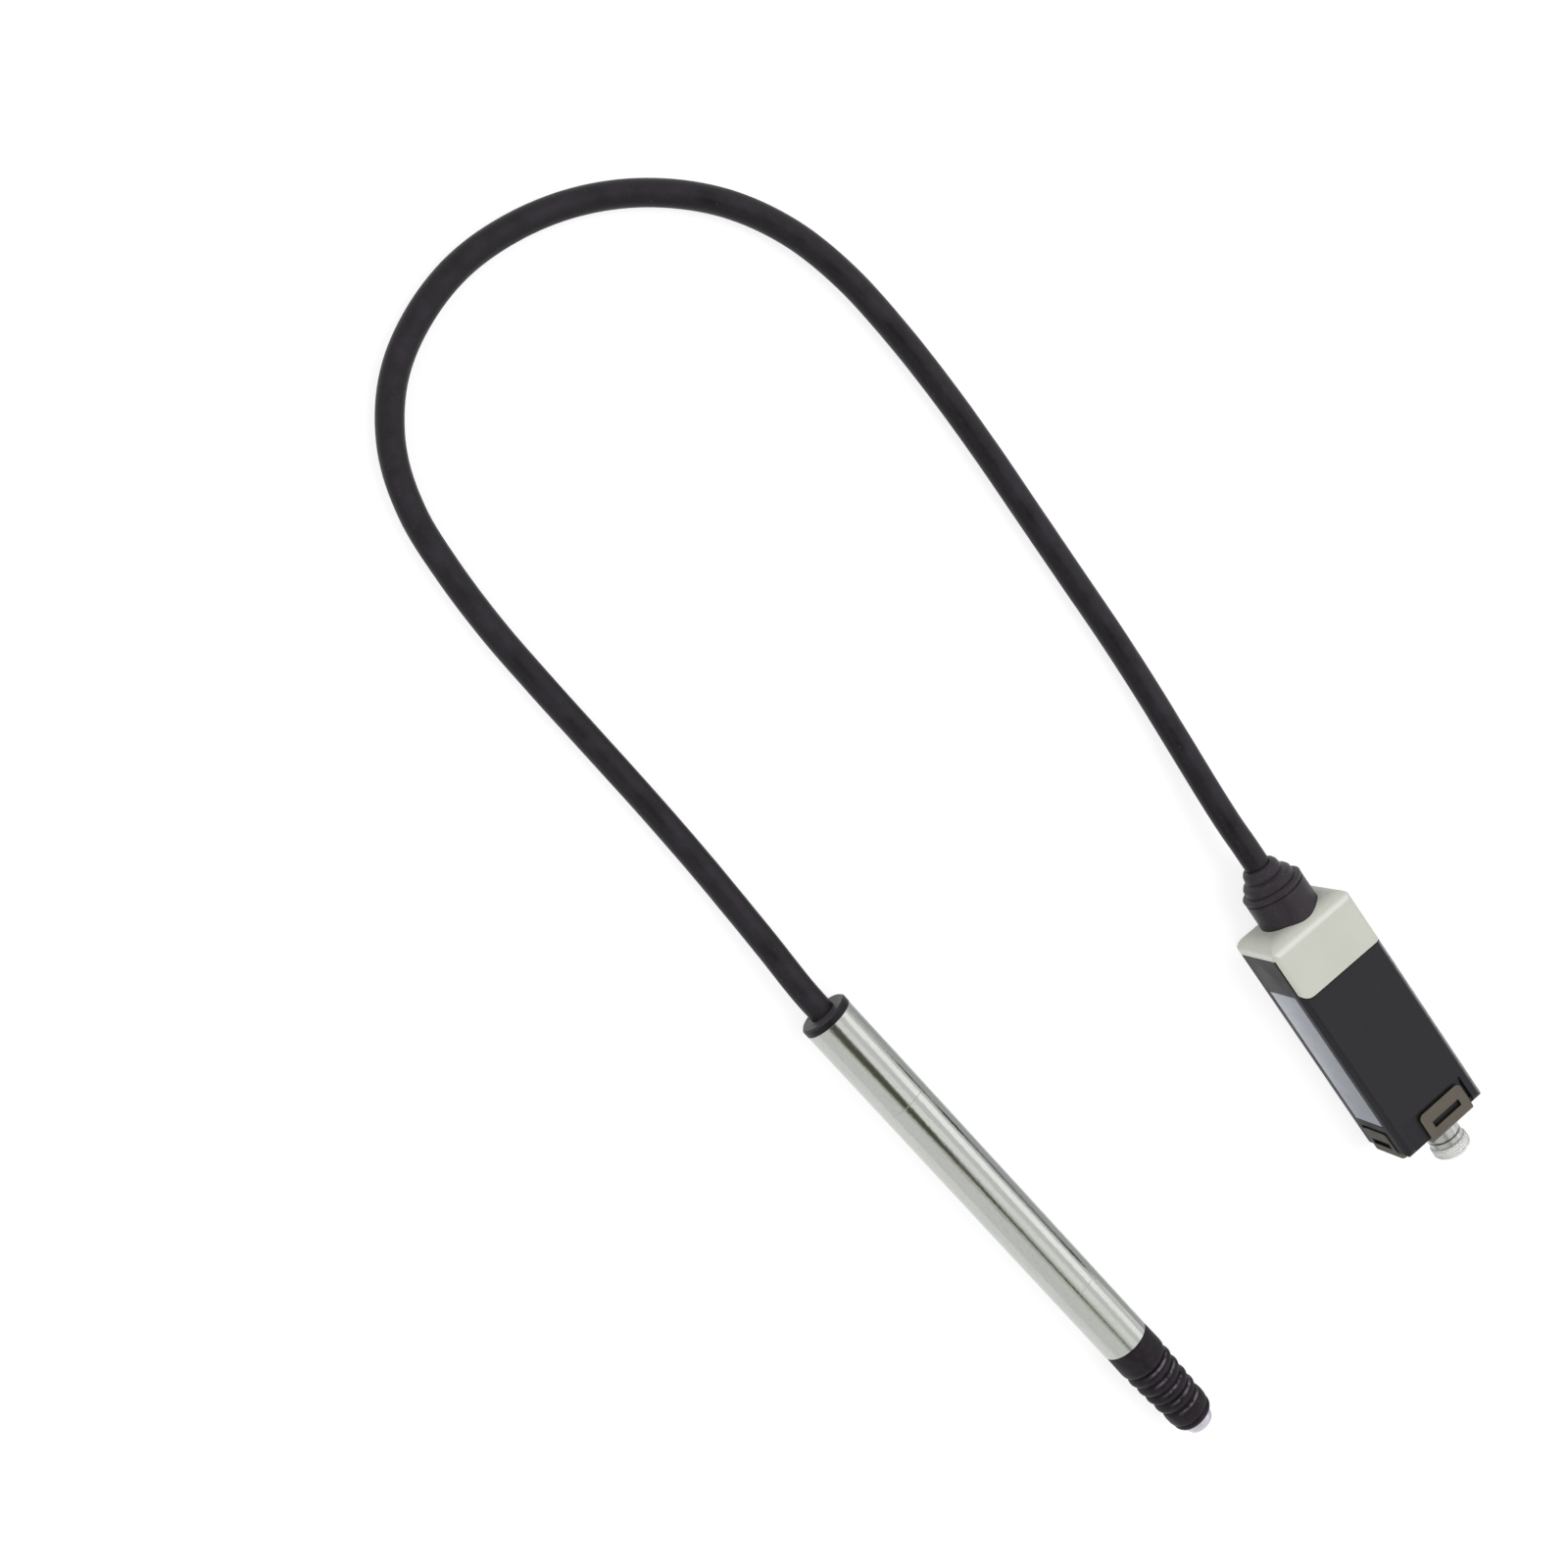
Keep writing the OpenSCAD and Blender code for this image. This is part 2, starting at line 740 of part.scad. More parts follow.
module contact_tip() {
  color("thistle")
    turned([
      [boot_end - stud_len, 0],
      [boot_end - stud_len, stud_d / 2],
      [boot_end, stud_d / 2],
      [boot_end, tip_d / 2 - 0.1],
      [boot_end + 0.1, tip_d / 2],
      [boot_end + 0.9, tip_d / 2 - 0.08],
      [boot_end + tip_t - 0.25, tip_d / 2 - 0.3],
      [boot_end + tip_t, tip_d / 2 - 0.6],
      [boot_end + tip_t, 0]
    ]);
}

// A smooth curve through the route's points
function between(a, b, c, d, t) = 0.5 * (2 * b + (c - a) * t
  + (2 * a - 5 * b + 4 * c - d) * t * t + (3 * b - 3 * c + d - a) * t * t * t);
function clamp_index(i) = max(0, min(len(route) - 1, i));
function on_route(s) =
  let (i = min(floor(s), len(route) - 2), t = s - i)
  between(route[clamp_index(i - 1)], route[i], route[i + 1], route[clamp_index(i + 2)], t);
function unit(v) = v / norm(v);
function cable_ring(s) =
  let (
    step = 0.02,
    here = on_route(s),
    ahead = unit(on_route(min(s + step, len(route) - 1)) - on_route(max(s - step, 0))),
    side = unit(cross(ahead, [0, 0, 1])),
    up = cross(side, ahead)
  )
  [for (j = [0:cable_sides - 1])
    let (a = 360 * (j + 0.5) / cable_sides)
    here + cable_r * (cos(a) * side + sin(a) * up)];

module cable() {
  rings = (len(route) - 1) * rings_per_span + 1;
  points = [for (i = [0:rings - 1]) each cable_ring(i / rings_per_span)];
  color("black")
    polyhedron(points = points, faces = ring_faces(rings, cable_sides), convexity = 10);
}

// The moulded gland sits in the cap's end wall and steps down to the cable
module gland() {
  base_end = cap_rear - gland_base;
  lip_end = base_end - gland_lip;
  base_r = gland_d / 2;
  color("black")
    at_box()
      translate([0, gland_offset, mid_h])
        turned([
          [cap_inner + 0.8, cable_r + seat_gap],
          [cap_inner + 0.8, gland_neck / 2 + 0.2],
          [cap_inner + 0.5, gland_neck / 2 + 0.5],
          [cap_inner + seat_gap, gland_neck / 2 + 0.5],
          [cap_inner + seat_gap, gland_neck / 2],
          [cap_rear + gland_seat, gland_neck / 2],
          [cap_rear + gland_seat, base_r],
          [base_end + 0.15, base_r - 0.04],
          [base_end + 0.05, base_r - 0.25],
          [base_end - 0.1, base_r - 0.25],
          [base_end - 0.2, base_r - 0.02],
          [lip_end + 0.3, base_r],
          [lip_end, base_r - 0.4],
          [lip_end - 0.05, base_r - 0.8],
          [lip_end - gland_nose * 0.3, base_r - 0.9],
          [lip_end - gland_nose * 0.42, base_r - 1.2],
          [lip_end - gland_nose * 0.5, cable_r + 1.05],
          [lip_end - gland_nose * 0.56, cable_r + 1.1],
          [lip_end - gland_nose * 0.85, cable_r + 0.9],
          [gland_rear + 0.1, cable_r + 0.6],
          [gland_rear, cable_r + 0.35],
          [gland_rear, cable_r + seat_gap]
        ]);
}

// The outline of the tongues seen from above, with a rounded corner on the label side
module tongue_outline(grow) {
  translate([cap_inner, -box_w / 2 - 1])
    square([tongue_len - tongue_r - cap_inner, box_w + 2]);
  translate([cap_inner, -box_w / 2 + tongue_r])
    square([tongue_len + grow - cap_inner, box_w - tongue_r + 1]);
  translate([tongue_len - tongue_r, -box_w / 2 + tongue_r])
    circle(tongue_r + grow);
}

// The part of the box's form that belongs to the cap. The label side's wall stays with the housing
module tongue_zone(grow) {
  difference() {
    translate([0, 0, -1])
      linear_extrude(box_h + 2)
        tongue_outline(grow);
    translate([cap_inner - 1, -box_w / 2 - 2, tongue_edge + grow])
      cube([tongue_len + 5, 2 + box_wall + parting_gap - grow, box_h - 2 * tongue_edge - 2 * grow]);
  }
}

// The cap closes the housing with its end wall, two tongues, a side wall and a skirt
module end_cap() {
  color("beige")
    at_box()
      difference() {
        union() {
          mirror([1, 0, 0])
            box_form(0, cap_len, cap_round);
          intersection() {
            rounded_bar(-eps, tongue_len, box_w, box_h, edge_r);
            tongue_zone(0);
          }
          rounded_bar(-eps, skirt_end, skirt_w, skirt_h, 0.8);
        }
        rounded_bar(cap_inner, skirt_end + 1, skirt_w - 2 * skirt_t, skirt_h - 2 * skirt_t, 0.5);
        box_rod(cap_rear - 1, cap_rear + gland_seat, gland_d / 2 + seat_gap, gland_offset);
        box_rod(cap_rear - 1, cap_inner + 1, gland_neck / 2 + seat_gap, gland_offset);
      }
}

// The dark housing is open to the cap and carries the board on two rails
module housing() {
  color([0.2, 0.19, 0.2])
    at_box() {
      difference() {
        box_form(parting_gap, box_len, end_round);
        rounded_bar(parting_gap - 1, cavity_end, inner_w, inner_h, 0.6);
        tongue_zone(parting_gap);
        box_rod(cavity_end - 1, box_len + 1, port_stem_d / 2 + seat_gap, port_offset);
        clip_recesses();
        translate([label_start - 0.1, -box_w / 2 - 1, mid_h - label_h / 2 - 0.1])
          cube([label_len + 0.2, 1 + label_t + 0.03, label_h + 0.2]);
      }
      for (side = [-1, 1])
        translate([rail_start, side * (inner_w / 2 - 0.75) - 0.75, box_wall])
          cube([cavity_end - rail_start, 1.5, rail_top - box_wall]);
    }
}

// A wedge that bevels the housing's end corner, drawn along the corner's own face height
module corner_wedge(face, width) {
  cut = bend_r - clip_t + 0.05;
  linear_extrude(width)
    polygon([
      [box_len - cut - 1, face + 1],
      [box_len + 1, face + 1],
      [box_len + 1, face - cut - 1]
    ]);
}

// Shallow seats for the clip's ears on the top and on the label side
module clip_recesses() {
  translate([0, port_offset + top_ear_w / 2 + 0.1, 0])
    rotate([90, 0, 0])
      corner_wedge(box_h - clip_recess, top_ear_w + 0.2);
  translate([0, 0, mid_h - side_ear_w / 2 - 0.1])
    mirror([0, 1, 0])
      corner_wedge(box_w / 2 - clip_recess, side_ear_w + 0.2);
  translate([ear_start - 0.6, -recess_left, box_h - clip_recess])
    cube([ear_len + 2, recess_left + recess_right, 1]);
  translate([ear_start + 0.2, recess_right - 0.35, box_h - clip_recess - 0.3])
    cube([ear_len - 1.3, 0.35, 1]);
  translate([ear_start - 0.3, -box_w / 2 - 1, mid_h - side_ear_w / 2 - 0.3])
    cube([ear_len + 2, 1 + clip_recess, side_ear_w + 0.6]);
}

module side_label() {
  color("gainsboro")
    at_box()
      translate([label_start, -box_w / 2 + 0.03, mid_h - label_h / 2])
        cube([label_len, label_t, label_h]);
}

// Half of the folded clip: an L-shaped strip with a bend, drawn in X and Z
module ear_profile(ear_z, foot_z) {
  translate([0, ear_z - clip_t])
    translate([ear_start, 0])
      square([clip_front - bend_r - ear_start, clip_t]);
  translate([box_len, foot_z])
    square([clip_t, ear_z - bend_r - foot_z]);
  translate([clip_front - bend_r, ear_z - bend_r])
    intersection() {
      difference() {
        circle(bend_r);
        circle(bend_r - clip_t);
      }
      square(bend_r);
    }
}

// The outline of an ear seen face on, with rounded corners at its free end
module ear_outline(w) {
  mirror([1, 0, 0])
    rounded_end(-clip_front - 1, -ear_start, w, ear_r);
}

// The clip is one folded sheet: an end plate with two slotted ears
module fixing_clip() {
  top_z = box_h - clip_recess + clip_t;
  side_y = box_w / 2 - clip_recess + clip_t;
  color("tan")
    at_box()
      difference() {
        union() {
          intersection() {
            translate([0, port_offset + top_ear_w / 2, 0])
              rotate([90, 0, 0])
                linear_extrude(top_ear_w)
                  ear_profile(top_z, mid_h - port_flange_d / 2);
            translate([0, port_offset, 0])
              linear_extrude(box_h + 2)
                ear_outline(top_ear_w);
          }
          intersection() {
            translate([0, 0, mid_h - side_ear_w / 2])
              mirror([0, 1, 0])
                linear_extrude(side_ear_w)
                  ear_profile(side_y, -port_offset - top_ear_w / 2);
            translate([0, box_w, mid_h])
              rotate([90, 0, 0])
                linear_extrude(2 * box_w)
                  ear_outline(side_ear_w);
          }
        }
        translate([ear_mid - slot_w / 2, port_offset - slot_len / 2, top_z - 1])
          cube([slot_w, slot_len, 2]);
        translate([ear_mid - slot_w / 2, -side_y - 1, mid_h - side_slot_len / 2])
          cube([slot_w, 2, side_slot_len]);
        box_rod(box_len - 1, clip_front + 1, port_stem_d / 2 + seat_gap, port_offset);
      }
}

module amplifier_board() {
  color("darkgreen")
    at_box()
      translate([board_rear, -board_w / 2, rail_top])
        cube([board_len, board_w, board_t]);
}

// A small block that takes four wires into one of its faces
module header_block(from) {
  translate([from, -header_w / 2, board_top])
    cube([header_len, header_w, header_h]);
}

module cable_header() {
  color("white") at_box() header_block(board_rear + 0.6);
}

module port_header() {
  color("white")
    at_box()
      translate([0, port_offset, 0])
        header_block(board_front - header_len - 0.6);
}

module signal_chip() {
  color("black")
    at_box()
      translate([board_rear + board_len * 0.29, -2.5, board_top])
        cube([5, 5, 1.2]);
}

module capacitors() {
  color("orange")
    at_box()
      for (i = [0:2])
        translate([board_rear + board_len * 0.55 + 3.2 * (i % 2), -3.6 + 3.6 * i, board_top])
          cylinder(h = 3, r = 1.4);
}

module trim_pot() {
  color("royalblue")
    at_box()
      translate([board_rear + board_len * 0.15, board_w / 2 - 4.3, board_top])
        difference() {
          cube([3, 3, 2]);
          translate([0.3, 1.4, 1.6])
            cube([2.4, 0.3, 1]);
        }
}

// Four straight leads in the box, around its own axis
module box_leads(from, to, side) {
  for (i = [0:3])
    box_rod(from, to, lead_d / 2, side + around(i, lead_circle)[0],
      mid_h + around(i, lead_circle)[1]);
}

module board_wires() {
  color("white") at_box() box_leads(box_cable_end, board_rear + 0.6, gland_offset);
}

module port_wires() {
  color("white") at_box() box_leads(board_front - 0.6, contact_rear, port_offset);
}

// The metal body of the port, clamped through the clip and the housing's end
module port_body() {
  color("silver")
    at_box()
      translate([0, port_offset, mid_h])
        turned([
          [stem_rear, insert_d / 2 + seat_gap],
          [stem_rear, port_stem_d / 2],
          [clip_front, port_stem_d / 2],
          [clip_front, port_flange_d / 2],
          [flange_front - 0.2, port_flange_d / 2],
          [flange_front, port_flange_d / 2 - 0.2],
          [flange_front, port_d / 2],
          [barrel_front - 1.5, port_d / 2],
          [barrel_front - 1.4, port_d / 2 - 0.3],
          [barrel_front - 1.15, port_d / 2 - 0.3],
          [barrel_front - 1.05, port_d / 2],
          [barrel_front - 0.3, port_d / 2],
          [barrel_front, port_d / 2 - 0.25],
          [barrel_front, insert_d / 2 + seat_gap]
        ]);
}

// Places its children at the four contacts of the port
module at_contacts() {
  for (i = [0:3])
    translate([0, around(i, contact_circle / 2)[0], around(i, contact_circle / 2)[1]])
      children();
}

module port_insert() {
  color("black")
    at_box()
      translate([0, port_offset, mid_h])
        difference() {
          rod(stem_rear, insert_front, insert_d / 2);
          at_contacts()
            rod(stem_rear - 1, barrel_front + 1, contact_d / 2 + seat_gap);
        }
}

module port_contacts() {
  color("gold")
    at_box()
      translate([0, port_offset, mid_h])
        at_contacts()
          difference() {
            rod(contact_rear, insert_front - 0.2, contact_d / 2);
            rod(insert_front - contact_bore, insert_front + 1, contact_d / 4);
          }
}

module port_nut() {
  start = cavity_end - port_seal_t - port_nut_t;
  color("silver")
    at_box()
      translate([0, port_offset, mid_h])
        difference() {
          rod(start, start + port_nut_t, port_nut_r);
          rod(start - 1, start + port_nut_t + 1, port_stem_d / 2 + seat_gap);
          for (side = [-1, 1])
            translate([start - 1, side * (port_nut_r + 0.7) - 1, -port_nut_r])
              cube([port_nut_t + 2, 2, 2 * port_nut_r]);
        }
}

module port_seal() {
  color("black")
    at_box()
      translate([0, port_offset, mid_h])
        tube(cavity_end - port_seal_t, cavity_end, port_nut_r, port_stem_d / 2 + seat_gap);
}

// The clear plug closes the barrel with a hollow spigot and a ribbed head
module port_cap() {
  spigot = insert_d / 2;
  head = port_d / 2 + 0.15;
  plug_end = barrel_front + plug_len;
  rib_pitch = (plug_len - 0.5) / 3;
  color([0.9, 0.92, 0.92, 0.5])
    at_box()
      translate([0, port_offset, mid_h])
        turned([
          [barrel_front - plug_grip, spigot - plug_wall],
          [barrel_front - plug_grip, spigot - 0.1],
          [barrel_front - plug_grip + 0.15, spigot],
          [barrel_front, spigot],
          [barrel_front, head],
          for (i = [0:2]) each [
            [barrel_front + 0.2 + rib_pitch * i, head],
            [barrel_front + 0.28 + rib_pitch * i, head + 0.15],
            [barrel_front + 0.42 + rib_pitch * i, head + 0.15],
            [barrel_front + 0.5 + rib_pitch * i, head]
          ],
          [plug_end - 0.3, head],
          [plug_end, head - 0.35],
          [plug_end, 0],
          [plug_end - plug_wall, 0],
          [plug_end - plug_wall, spigot - plug_wall]
        ]);
}

rear_sleeve();
main_tube();
nose_sleeve();
cable_bush();
terminal_disc();
lead_wires();
coil_leads();
coil_bobbin();
primary_winding();
secondary_windings();
shield_tube();
spring_seat();
return_spring();
guide_sleeve();
stop_washer();
guide_bush();
ball_cage();
cage_balls();
spindle();
stop_collar();
guide_pin();
core_rod();
core();
boot();
contact_tip();
cable();
gland();
end_cap();
housing();
side_label();
amplifier_board();
cable_header();
port_header();
signal_chip();
capacitors();
trim_pot();
board_wires();
port_wires();
port_body();
port_insert();
port_contacts();
port_nut();
port_seal();
port_cap();
fixing_clip();
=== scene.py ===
import math

import bpy
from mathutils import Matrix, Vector


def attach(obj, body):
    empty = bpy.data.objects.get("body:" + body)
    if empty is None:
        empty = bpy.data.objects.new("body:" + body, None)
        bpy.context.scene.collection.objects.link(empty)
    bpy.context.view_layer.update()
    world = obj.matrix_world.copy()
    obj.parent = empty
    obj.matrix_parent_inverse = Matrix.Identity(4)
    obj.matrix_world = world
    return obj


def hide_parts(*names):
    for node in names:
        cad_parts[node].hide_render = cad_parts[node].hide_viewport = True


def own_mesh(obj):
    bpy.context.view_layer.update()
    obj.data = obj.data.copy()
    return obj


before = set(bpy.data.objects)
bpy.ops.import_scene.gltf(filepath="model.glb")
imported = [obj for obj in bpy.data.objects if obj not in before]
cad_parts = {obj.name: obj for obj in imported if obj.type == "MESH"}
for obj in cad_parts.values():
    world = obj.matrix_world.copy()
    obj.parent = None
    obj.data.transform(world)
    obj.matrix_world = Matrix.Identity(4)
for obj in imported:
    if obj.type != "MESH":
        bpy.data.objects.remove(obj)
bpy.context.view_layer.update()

MM = 0.001

# Sizes that the pieces of this scene share with the solids, in metres
STEM_R = 4.0 * MM
FLOOR_Z = -STEM_R
NOSE_FACE = 32.5 * MM
BOOT_LENGTH = 17.4 * MM
BOOT_END = NOSE_FACE + BOOT_LENGTH
CABLE_R = 2.0 * MM

# Route of the cable from the bush to the relay box, in millimetres
ROUTE = [
    (-33, 0, 0), (-38, 0, 0), (-43, 0.1, 0), (-50, 0.7, -0.6), (-58, 1.3, -1.5),
    (-67, 1.8, -1.9), (-78, 2.1, -1.9), (-89, 2.2, -1.9), (-100, 2.3, -1.9), (-110, 2.6, -1.9),
    (-120, 3.6, -1.9), (-129, 5.4, -1.9), (-137, 9.2, -1.9), (-143.5, 15.5, -1.9),
    (-147.5, 23.5, -1.9), (-149.3, 33, -1.9), (-148.3, 43, -1.9), (-145, 52.5, -1.9),
    (-139.5, 61, -1.9), (-132, 68, -1.9), (-123, 72.6, -1.9), (-113, 74.8, -1.9),
    (-102, 75.3, -1.9), (-91, 75, -1.9), (-80, 74.2, -1.9), (-69, 73.1, -1.9),
    (-58, 72, -1.9), (-47, 70.9, -1.9), (-37, 69.6, -1.8), (-28, 68, -1.2), (-20, 66.2, 0.2),
    (-14, 64.95, 1.3), (-9.66, 64.38, 1.75), (-4.66, 63.85, 1.75), (6.34, 62.7, 1.75),
]
ROUTE_STEPS = 8
CABLE_BEVEL_STEPS = 7

# Directions of the relay box, which is turned by 6 degrees, and of the stem
TOWARD_CABLE = (-0.995, 0.104, 0)
FAR_SIDE = (0.104, 0.995, 0)
STEM_REAR = (-1, 0, 0)
UP = (0, 0, 1)

# The camera stands almost overhead, behind the stem's cable end
CAMERA_PLACE = Vector((-0.12293, -0.02867, 0.2673))
CAMERA_TARGET = Vector((-0.0653, 0.0189, -0.004))
IMAGE_UP_HEADING = math.radians(137.3)
CAMERA_LENS = 44.5
SENSOR_WIDTH = 36
CAMERA_CLIP = 0.01


def make_camera():
    """Places the camera so that the top of the image points along IMAGE_UP_HEADING."""
    data = bpy.data.cameras.new("camera")
    data.lens = CAMERA_LENS
    data.sensor_width = SENSOR_WIDTH
    data.clip_start = CAMERA_CLIP
    camera = bpy.data.objects.new("camera", data)
    bpy.context.scene.collection.objects.link(camera)
    back = (CAMERA_PLACE - CAMERA_TARGET).normalized()
    up_hint = Vector((math.cos(IMAGE_UP_HEADING), math.sin(IMAGE_UP_HEADING), 0))
    right = up_hint.cross(back).normalized()
    up = back.cross(right)
    matrix = camera.matrix_world.copy()
    for row in range(3):
        matrix[row][0] = right[row]
        matrix[row][1] = up[row]
        matrix[row][2] = back[row]
        matrix[row][3] = CAMERA_PLACE[row]
    camera.matrix_world = matrix
    bpy.context.scene.camera = camera


def smooth_route(points, steps):
    """Points of a smooth curve through the route, in metres."""
    spread = [Vector(p) * MM for p in points]
    last = len(spread) - 1
    smooth = []
    for i in range(last):
        a, b = spread[max(i - 1, 0)], spread[i]
        c, d = spread[i + 1], spread[min(i + 2, last)]
        for step in range(steps):
            t = step / steps
            smooth.append(0.5 * (2 * b + (c - a) * t + (2 * a - 5 * b + 4 * c - d) * t ** 2
                                 + (3 * b - 3 * c + d - a) * t ** 3))
    smooth.append(spread[last])
    return smooth


def make_cable():
    points = smooth_route(ROUTE, ROUTE_STEPS)
    curve = bpy.data.curves.new("cable_cord", "CURVE")
    curve.dimensions = "3D"
    # Each point's radius sets the cable's thickness
    curve.bevel_depth = 1
    curve.bevel_resolution = CABLE_BEVEL_STEPS
    curve.use_fill_caps = True
    spline = curve.splines.new("POLY")
    spline.points.add(len(points) - 1)
    for target, point in zip(spline.points, points):
        target.co = (*point, 1)
        target.radius = CABLE_R
    cable = bpy.data.objects.new("cable_cord", curve)
    bpy.context.scene.collection.objects.link(cable)
    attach(cable, "case")
    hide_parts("cable")
    return cable


make_camera()
cable = make_cable()


class Finish:
    """The nodes of one material, which work in the shared frame, in metres."""

    def __init__(self, name, color, roughness, metallic=0.0):
        self.material = bpy.data.materials.new(name)
        self.material.use_nodes = True
        self.tree = self.material.node_tree
        self.shader = self.tree.nodes["Principled BSDF"]
        self.shader.inputs["Base Color"].default_value = (*color, 1)
        self.shader.inputs["Roughness"].default_value = roughness
        self.shader.inputs["Metallic"].default_value = metallic
        self.place = self.tree.nodes.new("ShaderNodeTexCoord").outputs["Object"]
        self.relief = None

    def add(self, kind, values=(), **settings):
        """A node with its settings, whose inputs are values or other nodes' outputs."""
        node = self.tree.nodes.new(kind)
        for name, value in settings.items():
            setattr(node, name, value)
        for name, value in dict(values).items():
            if isinstance(value, bpy.types.NodeSocket):
                self.tree.links.new(value, node.inputs[name])
            else:
                node.inputs[name].default_value = value
        return node

    def noise(self, size, stretch=(1, 1, 1), detail=2.0):
        """Soft noise whose grains are about size metres across, longer where stretch is over 1."""
        scale = [1 / (size * s) for s in stretch]
        mapping = self.add("ShaderNodeMapping", {"Vector": self.place, "Scale": scale})
        node = self.add("ShaderNodeTexNoise", {
            "Vector": mapping.outputs[0], "Scale": 1.0, "Detail": detail})
        return node.outputs["Fac"]

    def remap(self, value, low, high, to_low, to_high):
        node = self.add("ShaderNodeMapRange", {
            "Value": value, "From Min": low, "From Max": high, "To Min": to_low, "To Max": to_high})
        return node.outputs["Result"]

    def math(self, operation, a, b=0.0):
        node = self.add("ShaderNodeMath", operation=operation)
        for socket, value in zip(node.inputs, (a, b)):
            if isinstance(value, bpy.types.NodeSocket):
                self.tree.links.new(value, socket)
            else:
                socket.default_value = value
        return node.outputs[0]

    def facing(self, direction, start, full):
        """From 0 to 1 as the surface turns towards a direction, between two cosines."""
        normal = self.add("ShaderNodeNewGeometry").outputs["Normal"]
        dot = self.add("ShaderNodeVectorMath", {0: normal, 1: direction}, operation="DOT_PRODUCT")
        return self.remap(dot.outputs["Value"], start, full, 0, 1)

    def backdrop_ray(self):
        """1 for the rays that show the backdrop: directly, in a reflection or through glass."""
        path = self.add("ShaderNodeLightPath")
        seen = self.math("MAXIMUM", path.outputs["Is Camera Ray"], path.outputs["Is Glossy Ray"])
        return self.math("MAXIMUM", seen, path.outputs["Is Transmission Ray"])

    def paint(self, amount, color):
        """Mixes another colour over the base colour, by an amount from 0 to 1."""
        mix = self.add("ShaderNodeMix", data_type="RGBA")
        base = self.shader.inputs["Base Color"]
        if base.is_linked:
            self.tree.links.new(base.links[0].from_socket, mix.inputs["A"])
        else:
            mix.inputs["A"].default_value = base.default_value
        self.tree.links.new(amount, mix.inputs["Factor"])
        mix.inputs["B"].default_value = (*color, 1)
        self.tree.links.new(mix.outputs["Result"], base)
        return self

    def rough(self, value, low, high):
        """Roughness from low to high, as the value goes from 0.3 to 0.7."""
        self.tree.links.new(self.remap(value, 0.3, 0.7, low, high), self.shader.inputs["Roughness"])
        return self

    def bump(self, value, height):
        """Raises the surface by height metres where the value is 1."""
        values = {"Height": value, "Distance": height, "Strength": 1.0}
        if self.relief is not None:
            values["Normal"] = self.relief
        self.relief = self.add("ShaderNodeBump", values).outputs["Normal"]
        self.tree.links.new(self.relief, self.shader.inputs["Normal"])
        return self

    def set(self, **values):
        for name, value in values.items():
            self.shader.inputs[name.replace("_", " ")].default_value = value
        return self

    def on(self, *pieces):
        """Gives the material to CAD nodes by name, or to pieces of this scene."""
        for piece in pieces:
            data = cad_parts[piece].data if isinstance(piece, str) else piece.data
            data.materials.clear()
            data.materials.append(self.material)


def ground_steel():
    """Satin stainless steel with grinding rings round the stem, dull patches and fine scratches."""
    steel = Finish("ground_steel", (0.51, 0.525, 0.495), 0.16, 1.0)
    rings = steel.noise(0.00012, (1, 60, 60), 3)
    patches = steel.noise(0.006, (2.5, 1, 1), 4)
    grain = steel.noise(0.0004, (1.6, 1, 1), 3)
    steel.rough(patches, 0.1, 0.2).bump(rings, 0.0000015).bump(grain, 0.00001)
    steel.paint(steel.remap(patches, 0.45, 0.75, 0, 0.3), (0.44, 0.455, 0.41))
    steel.paint(steel.remap(grain, 0.5, 0.75, 0, 0.3), (0.4, 0.41, 0.38))
    scratches = steel.noise(0.00025, (14, 1, 1), 1)
    return steel.paint(steel.remap(scratches, 0.66, 0.78, 0, 0.35), (0.3, 0.315, 0.3))


def bright_steel():
    """Hardened and ground steel of the sliding pieces."""
    steel = Finish("bright_steel", (0.75, 0.75, 0.77), 0.12, 1.0)
    rings = steel.noise(0.0001, (1, 40, 40), 2)
    return steel.rough(rings, 0.08, 0.18).bump(rings, 0.000001)


def dull_metal(name, color, roughness):
    """A turned or drawn metal with a soft tool pattern and slight stains."""
    metal = Finish(name, color, roughness, 1.0)
    lines = metal.noise(0.00015, (1, 20, 20), 2)
    metal.rough(lines, roughness - 0.06, roughness + 0.08).bump(lines, 0.000002)
    stains = metal.noise(0.003, detail=4)
    return metal.paint(metal.remap(stains, 0.5, 0.8, 0, 0.4), [c * 0.65 for c in color])


def black_rubber(name, color, roughness, dust):
    """Black rubber with fine grain, an uneven sheen and a little pale dust."""
    rubber = Finish(name, color, roughness)
    rubber.set(Specular_IOR_Level=0.22)
    grain = rubber.noise(0.0002, detail=3)
    cloud = rubber.noise(0.004, detail=4)
    rubber.rough(cloud, roughness - 0.08, roughness + 0.08).bump(grain, 0.000008)
    rubber.paint(rubber.remap(cloud, 0.4, 0.75, 0, 0.4), [c * 1.5 for c in color])
    specks = rubber.noise(0.00035, detail=1)
    rubber.paint(rubber.remap(specks, 0.68, 0.78, 0, dust), (0.12, 0.11, 0.125))
    return rubber


def moulded_plastic(name, color, roughness, grain_size, contrast):
    """A moulding with a spark-eroded grain and slight mottling."""
    plastic = Finish(name, color, roughness)
    plastic.set(Specular_IOR_Level=0.25)
    grain = plastic.noise(grain_size, detail=2)
    mottle = plastic.noise(0.005, detail=4)
    plastic.bump(grain, 0.000015).rough(mottle, roughness - 0.08, roughness + 0.08)
    plastic.paint(plastic.remap(mottle, 0.35, 0.75, 0, contrast), [c * 0.75 for c in color])
    plastic.paint(plastic.remap(grain, 0.55, 0.8, 0, contrast), [min(1, c * 1.5) for c in color])
    return plastic


